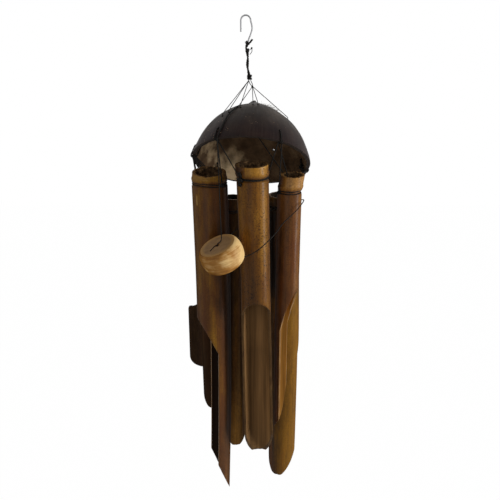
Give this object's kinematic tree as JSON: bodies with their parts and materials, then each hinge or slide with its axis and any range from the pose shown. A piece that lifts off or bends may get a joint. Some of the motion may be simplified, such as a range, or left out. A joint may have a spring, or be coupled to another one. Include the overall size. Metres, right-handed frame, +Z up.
{
  "type": "bamboo wind chime",
  "caption": "Hanging wind chime: tongue-cut bamboo tubes slung on cords under a tilted coconut half shell, with a wooden clapper and a bamboo sail, on a wire S-hook.",
  "frame": {"origin": "inside top of the S-hook's upper bend, where it hangs on its nail", "axes": "+Z up, +X to the right in the picture's view, +Y away from the viewer"},
  "size_m": [0.1329, 0.1466, 0.5244],
  "materials": {
    "steel": "plain drawn wire",
    "waxed_cord": "black waxed cord",
    "coconut": "scraped dark shell, matt inside",
    "bamboo": "flame-browned and varnished",
    "pale_wood": "turned, thin varnish"
  },
  "bodies": {
    "hook": {"s_hook": "steel"},
    "hanger_loop": {"hanger_loop": "waxed_cord", "hook_knot": "waxed_cord"},
    "hanger": {"hanger_cord": "waxed_cord", "gathering_knot": "waxed_cord"},
    "canopy": {"lower_knot": "waxed_cord", "coconut_shell": "coconut", "shell_cord": "waxed_cord", "tail_cord": "waxed_cord", "canopy_cord_1": "waxed_cord", "canopy_cord_2": "waxed_cord", "canopy_cord_3": "waxed_cord", "canopy_cord_4": "waxed_cord", "canopy_cord_5": "waxed_cord", "canopy_cord_6": "waxed_cord", "rim_lashing_1": "waxed_cord", "rim_lashing_2": "waxed_cord", "rim_lashing_3": "waxed_cord", "rim_lashing_4": "waxed_cord", "rim_lashing_5": "waxed_cord", "rim_lashing_6": "waxed_cord"},
    "front_left": {"tube_front_left": "bamboo", "tie_front_left": "waxed_cord", "sling_front_left_a": "waxed_cord", "sling_front_left_b": "waxed_cord"},
    "front_middle": {"tube_front_middle": "bamboo", "tie_front_middle": "waxed_cord", "sling_front_middle_a": "waxed_cord", "sling_front_middle_b": "waxed_cord"},
    "front_right": {"tube_front_right": "bamboo", "tie_front_right": "waxed_cord", "sling_front_right_a": "waxed_cord", "sling_front_right_b": "waxed_cord"},
    "rear_right": {"tube_rear_right": "bamboo", "tie_rear_right": "waxed_cord", "sling_rear_right_a": "waxed_cord", "sling_rear_right_b": "waxed_cord"},
    "rear_middle": {"tube_rear_middle": "bamboo", "tie_rear_middle": "waxed_cord", "sling_rear_middle_a": "waxed_cord", "sling_rear_middle_b": "waxed_cord"},
    "rear_left": {"tube_rear_left": "bamboo", "tie_rear_left": "waxed_cord", "sling_rear_left_a": "waxed_cord", "sling_rear_left_b": "waxed_cord"},
    "clapper_line": {"clapper_cord": "waxed_cord", "clapper_knot": "waxed_cord"},
    "clapper": {"clapper": "pale_wood"},
    "sail": {"sail": "bamboo", "sail_cord": "waxed_cord"}
  },
  "joints": [
    {"name": "loop_rock", "type": "hinge", "parent": "hook", "child": "hanger_loop", "pos_m": [0.0002, 0, -0.0242], "axis": [1, 0, 0], "range_deg": [-20, 20]},
    {"name": "hanger_swing", "type": "hinge", "parent": "hanger_loop", "child": "hanger", "pos_m": [0.0002, 0, -0.03014], "axis": [0, 1, 0], "range_deg": [-20, 20]},
    {"name": "canopy_twist", "type": "hinge", "parent": "hanger", "child": "canopy", "pos_m": [0.0035, 0, -0.0545], "axis": [0, 0, 1], "range_deg": [-60, 60], "stiffness_Nm_per_rad": 0.002},
    {"name": "front_left_swing", "type": "hinge", "parent": "canopy", "child": "front_left", "pos_m": [-0.04052, -0.02253, -0.11988], "axis": [-0.5171, 0.7515, -0.4097], "range_deg": [-3, 15]},
    {"name": "front_middle_swing", "type": "hinge", "parent": "canopy", "child": "front_middle", "pos_m": [0.00204, -0.04377, -0.11065], "axis": [-0.9958, 0.0859, 0.0318], "range_deg": [-1, 2]},
    {"name": "front_right_swing", "type": "hinge", "parent": "canopy", "child": "front_right", "pos_m": [0.04743, -0.01918, -0.12928], "axis": [-0.4219, -0.7603, 0.4939], "range_deg": [-1.5, 12]},
    {"name": "rear_right_swing", "type": "hinge", "parent": "canopy", "child": "rear_right", "pos_m": [0.03759, 0.0288, -0.15739], "axis": [0.7351, -0.6061, 0.3037], "range_deg": [-2.5, 15]},
    {"name": "rear_middle_swing", "type": "hinge", "parent": "canopy", "child": "rear_middle", "pos_m": [-0.01176, 0.04292, -0.16176], "axis": [0.946, 0.2363, -0.2219], "range_deg": [-1.2, 15]},
    {"name": "rear_left_swing", "type": "hinge", "parent": "canopy", "child": "rear_left", "pos_m": [-0.0447, 0.01638, -0.14299], "axis": [0.3333, 0.7948, -0.5072], "range_deg": [-1.2, 8]},
    {"name": "clapper_swing", "type": "hinge", "parent": "canopy", "child": "clapper_line", "pos_m": [-0.0241, -0.04463, -0.10699], "axis": [-1, 0, 0], "range_deg": [-2.5, 40], "deforming": ["tail_cord"]},
    {"name": "clapper_spin", "type": "hinge", "parent": "clapper_line", "child": "clapper", "pos_m": [-0.022, -0.07, -0.2115], "axis": [-0.3709, -0.2506, 0.8942], "continuous": true},
    {"name": "sail_swing", "type": "hinge", "parent": "canopy", "child": "sail", "pos_m": [-0.02877, 0.03213, -0.23222], "axis": [0.6331, 0.7741, 0], "range_deg": [-2, 30]}
  ]
}
